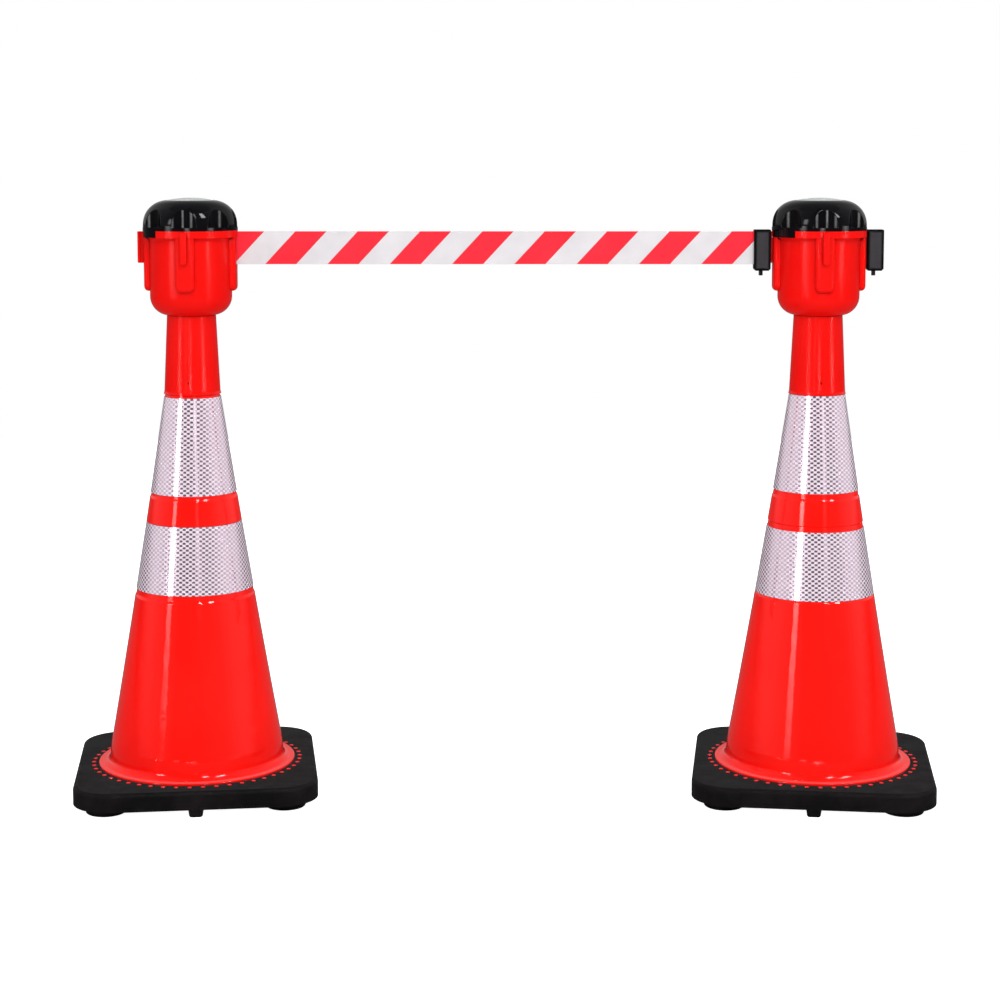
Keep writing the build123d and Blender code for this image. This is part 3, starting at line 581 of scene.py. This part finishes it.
def named_inputs(tree, sizes):
    """Give a geometry tree its named sizes and its one output."""
    for name, kind in sizes.items():
        tree.interface.new_socket(name, in_out="INPUT", socket_type=f"NodeSocket{kind}")
    tree.interface.new_socket("Geometry", in_out="OUTPUT", socket_type="NodeSocketGeometry")


def finish_tree(sheet, shape, sizes):
    """End a geometry tree: one real mesh, at its place, smooth and with its finish."""
    joined = sheet.add("GeometryNodeRealizeInstances", {"Geometry": shape})
    placed = sheet.add("GeometryNodeTransform", {
        "Geometry": joined.outputs[0],
        "Translation": sizes["Centre"],
    })
    smooth = sheet.add("GeometryNodeSetShadeSmooth", {"Geometry": placed.outputs[0]})
    dressed = sheet.add("GeometryNodeSetMaterial", {
        "Geometry": smooth.outputs[0],
        "Material": sizes["Finish"],
    })
    sheet.add("NodeGroupOutput", {"Geometry": dressed.outputs[0]})


def peg_tree():
    """Geometry nodes for a ring of low round pegs: named sizes in, one realised mesh out."""
    tree = bpy.data.node_groups.new("peg_ring", "GeometryNodeTree")
    named_inputs(tree, {
        "Pegs": "Int",
        "Circle": "Float",
        "Radius": "Float",
        "Rise": "Float",
        "Centre": "Vector",
        "Finish": "Material",
    })
    sheet = Sheet(tree)
    sizes = sheet.add("NodeGroupInput").outputs
    ring = sheet.add("GeometryNodeMeshCircle", {"Vertices": sizes["Pegs"], "Radius": sizes["Circle"]})
    dome = sheet.add("GeometryNodeMeshUVSphere", {
        "Segments": peg_segments,
        "Rings": peg_rings,
        "Radius": 1.0,
    })
    size = sheet.add("ShaderNodeCombineXYZ", {0: sizes["Radius"], 1: sizes["Radius"], 2: sizes["Rise"]})
    spread = sheet.add("GeometryNodeInstanceOnPoints", {
        "Points": ring.outputs["Mesh"],
        "Instance": dome.outputs["Mesh"],
        "Scale": size.outputs[0],
    })
    finish_tree(sheet, spread.outputs[0], sizes)
    return tree


def roll_tree():
    """Geometry nodes for a strip wound on a hub: a spiral path with the strip's section along it."""
    tree = bpy.data.node_groups.new("wound_strip", "GeometryNodeTree")
    named_inputs(tree, {
        "Turns": "Float",
        "Hub": "Float",
        "Outer": "Float",
        "Thickness": "Float",
        "Width": "Float",
        "Centre": "Vector",
        "Finish": "Material",
    })
    sheet = Sheet(tree)
    sizes = sheet.add("NodeGroupInput").outputs
    spiral = sheet.add("GeometryNodeCurveSpiral", {
        "Resolution": roll_points_per_turn,
        "Rotations": sizes["Turns"],
        "Start Radius": sizes["Hub"],
        "End Radius": sizes["Outer"],
        "Height": 0.0,
    })
    level = sheet.add("GeometryNodeSetCurveNormal", {"Curve": spiral.outputs[0]}, mode="Z_UP")
    along = sheet.add("GeometryNodeCaptureAttribute", {"Geometry": level.outputs[0]}, domain="POINT")
    along.capture_items.new("FLOAT", "along")
    sheet.feed(along.inputs["along"], sheet.add("GeometryNodeSplineParameter").outputs["Length"])
    section = sheet.add("GeometryNodeCurvePrimitiveQuadrilateral", {
        "Width": sizes["Thickness"],
        "Height": sizes["Width"],
    })
    place = sheet.add("GeometryNodeInputPosition").outputs[0]
    down = sheet.add("GeometryNodeCaptureAttribute", {"Geometry": section.outputs[0]}, domain="POINT")
    down.capture_items.new("FLOAT", "down")
    sheet.feed(down.inputs["down"], sheet.add("ShaderNodeSeparateXYZ", {0: place}).outputs[1])
    swept = sheet.add("GeometryNodeCurveToMesh", {
        "Curve": along.outputs["Geometry"],
        "Profile Curve": down.outputs["Geometry"],
        "Fill Caps": True,
    })
    flat = sheet.add("ShaderNodeCombineXYZ", {0: along.outputs["along"], 1: down.outputs["down"]})
    laid = sheet.add("GeometryNodeStoreNamedAttribute", {
        "Geometry": swept.outputs[0],
        "Name": "UVMap",
        "Value": flat.outputs[0],
    }, data_type="FLOAT2", domain="CORNER")
    finish_tree(sheet, laid.outputs[0], sizes)
    return tree


def coil_tree():
    """Geometry nodes for a coil spring: a helix with round wire along it."""
    tree = bpy.data.node_groups.new("coil_spring", "GeometryNodeTree")
    named_inputs(tree, {
        "Turns": "Float",
        "Coil": "Float",
        "Length": "Float",
        "Wire": "Float",
        "Centre": "Vector",
        "Finish": "Material",
    })
    sheet = Sheet(tree)
    sizes = sheet.add("NodeGroupInput").outputs
    helix = sheet.add("GeometryNodeCurveSpiral", {
        "Resolution": coil_points_per_turn,
        "Rotations": sizes["Turns"],
        "Start Radius": sizes["Coil"],
        "End Radius": sizes["Coil"],
        "Height": sizes["Length"],
    })
    wire = sheet.add("GeometryNodeCurvePrimitiveCircle", {
        "Resolution": coil_wire_sides,
        "Radius": sizes["Wire"],
    })
    swept = sheet.add("GeometryNodeCurveToMesh", {
        "Curve": helix.outputs[0],
        "Profile Curve": wire.outputs[0],
        "Fill Caps": True,
    })
    finish_tree(sheet, swept.outputs[0], sizes)
    return tree


def grown(name, tree, sizes):
    """A plain mesh object made by a geometry tree with these sizes."""
    seed = bpy.data.objects.new(name, bpy.data.meshes.new(name))
    scene.collection.objects.link(seed)
    growth = seed.modifiers.new("growth", "NODES")
    growth.node_group = tree
    for item in tree.interface.items_tree:
        if item.in_out == "INPUT":
            growth[item.identifier] = sizes[item.name]
    evaluated = seed.evaluated_get(bpy.context.evaluated_depsgraph_get())
    mesh = bpy.data.meshes.new_from_object(evaluated)
    seed.modifiers.remove(growth)
    seed.data = mesh
    return seed


def foot_pegs(unit):
    """The ring of pegs round a cone's foot."""
    ring = grown(f"{unit}_foot_pegs", pegs, {
        "Pegs": peg_count,
        "Circle": peg_circle,
        "Radius": peg_radius,
        "Rise": peg_rise,
        "Centre": (axis_x[unit], 0.0, base_top),
        "Finish": finishes["cone_plastic"],
    })
    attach(ring, f"{unit}_cone")


def wound_belt(unit):
    """The belt still wound on a reel."""
    low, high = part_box(f"{unit}_belt_roll")
    inner, outer = hub_radius + belt_thickness / 2, (high.x - low.x) / 2 - belt_thickness / 2
    turns = (outer - inner) / belt_thickness
    roll = grown(f"{unit}_belt_winding", rolls, {
        "Turns": turns,
        "Hub": inner,
        "Outer": outer,
        "Thickness": belt_thickness - roll_gap,
        "Width": belt_width,
        "Centre": (axis_x[unit], 0.0, (belt_low + belt_high) / 2),
        "Finish": finishes["belt_webbing"],
    })
    close_seam(roll.data)
    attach(roll, f"{unit}_reel")
    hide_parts(f"{unit}_belt_roll")


def button_coil(unit):
    """The coil spring over a button, in the place and size of the frame's spring."""
    low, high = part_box(f"{unit}_button_spring")
    middle = (low.x + high.x) / 2
    foot, head = low.z + coil_wire, high.z - coil_wire
    coil = grown(f"{unit}_button_coil", coils, {
        "Turns": coil_turns,
        "Coil": (high.x - low.x) / 2 - coil_wire,
        "Length": head - foot,
        "Wire": coil_wire,
        "Centre": (middle, 0.0, foot),
        "Finish": finishes["spring_steel"],
    })
    close_seam(coil.data)
    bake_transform(coil)
    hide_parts(f"{unit}_button_spring")


def reel_spring(unit):
    """The spiral that turns with a reel, and the hook at its inner end that stays in the axle."""
    low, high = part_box(f"{unit}_power_spring")
    spiral = grown(f"{unit}_spring_spiral", rolls, {
        "Turns": spiral_turns,
        "Hub": spiral_start,
        "Outer": high.x - axis_x[unit] - spiral_strip / 2,
        "Thickness": spiral_strip,
        "Width": high.z - low.z,
        "Centre": (axis_x[unit], 0.0, (low.z + high.z) / 2),
        "Finish": finishes["spring_steel"],
    })
    close_seam(spiral.data)
    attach(spiral, f"{unit}_reel")
    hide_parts(f"{unit}_power_spring")
    section = strip_section(spiral_strip, high.z - low.z, spiral_edge_round)
    lengths = [hook_start, spiral_start - spiral_strip / 2 - hook_gap]
    stations = [axis_x[unit] + length for length in lengths]
    name = f"{unit}_spring_hook"
    hook = straight_strip(name, "spring_steel", low.z, high.z, section, stations, lengths)
    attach(hook, f"{unit}_topper")


pegs = peg_tree()
rolls = roll_tree()
coils = coil_tree()
for unit in units:
    foot_pegs(unit)
    wound_belt(unit)
    button_coil(unit)
    reel_spring(unit)


def pale_floor():
    """A plain floor, white to the camera and grey to the pieces that mirror it."""
    reach = floor_reach
    mesh = bpy.data.meshes.new("floor")
    corners = [(-reach, -reach, 0), (reach, -reach, 0), (reach, reach, 0), (-reach, reach, 0)]
    mesh.from_pydata(corners, [], [(0, 1, 2, 3)])
    floor = bpy.data.objects.new("floor", mesh)
    scene.collection.objects.link(floor)
    finish = Finish("pale_floor")
    ray = finish.add("ShaderNodeLightPath").outputs
    finish.set(Base_Color=finish.mix(ray["Is Glossy Ray"], floor_grey, floor_grey_in_gloss))
    finish.set(Roughness=0.9)
    finish.set(Specular_IOR_Level=0.0)
    finish.set(Emission_Color=white)
    finish.set(Emission_Strength=ray["Is Camera Ray"])
    mesh.materials.append(finish.material)


def room():
    """A white backdrop, soft light from all round, and the bright panels that gloss mirrors."""
    world = bpy.data.worlds.new("studio")
    scene.world = world
    world.use_nodes = True
    sheet = Sheet(world.node_tree)
    ray = sheet.add("ShaderNodeLightPath").outputs
    direction = sheet.add("ShaderNodeTexCoord").outputs["Generated"]
    heading = sheet.add("ShaderNodeSeparateXYZ", {0: direction})
    toward = sheet.maths("MULTIPLY", heading.outputs[1], -1.0)
    azimuth = sheet.maths("DEGREES", sheet.maths("ARCTAN2", heading.outputs[0], toward))
    elevation = sheet.maths("DEGREES", sheet.maths("ARCSINE", heading.outputs[2]))
    lit = sheet.span(heading.outputs[1], *gloss_room)
    for middle, half, edge, low, full, fade, top, brightness in panels.values():
        aside = sheet.maths("ABSOLUTE", sheet.maths("SUBTRACT", azimuth, middle))
        width = sheet.span(aside, half + edge / 2, half - edge / 2, 0.0, brightness)
        rise = sheet.span(elevation, low, full)
        fall = sheet.span(elevation, fade, top, 1.0, 0.0)
        panel = sheet.maths("MULTIPLY", width, sheet.maths("MULTIPLY", rise, fall))
        lit = sheet.maths("ADD", lit, panel)
    soft = sheet.span(heading.outputs[1], *soft_room)
    level = sheet.add("ShaderNodeMix", {0: ray["Is Glossy Ray"], 2: soft, 3: lit}).outputs[0]
    level = sheet.add("ShaderNodeMix", {0: ray["Is Camera Ray"], 2: level, 3: 1.0}).outputs[0]
    backdrop = world.node_tree.nodes["Background"]
    sheet.feed(backdrop.inputs["Strength"], level)
    sheet.feed(backdrop.inputs["Color"], white)


def soft_box(name, azimuth, elevation, distance, width, height, brightness):
    """A soft area light that faces the middle of the barrier and that gloss doesn't mirror."""
    a, e = math.radians(azimuth), math.radians(elevation)
    away = Vector((math.sin(a) * math.cos(e), -math.cos(a) * math.cos(e), math.sin(e)))
    light = bpy.data.lights.new(name, "AREA")
    light.shape = "RECTANGLE"
    light.size = width
    light.size_y = height
    light.energy = brightness * math.pi * width * height
    lamp = bpy.data.objects.new(name, light)
    lamp.location = Vector(front_light_target) + away * distance
    lamp.visible_glossy = False
    lamp.rotation_mode = "QUATERNION"
    lamp.rotation_quaternion = away.to_track_quat("Z", "Y")
    scene.collection.objects.link(lamp)


pale_floor()
room()
soft_box("front_light", *front_light)

camera = bpy.data.cameras.new("camera")
camera.lens = camera_lens
camera.sensor_width = camera_sensor
camera.shift_y = camera_rise
viewer = bpy.data.objects.new("camera", camera)
viewer.location = camera_place
viewer.rotation_euler = (math.radians(90 - camera_pitch), 0, 0)
scene.collection.objects.link(viewer)
scene.camera = viewer
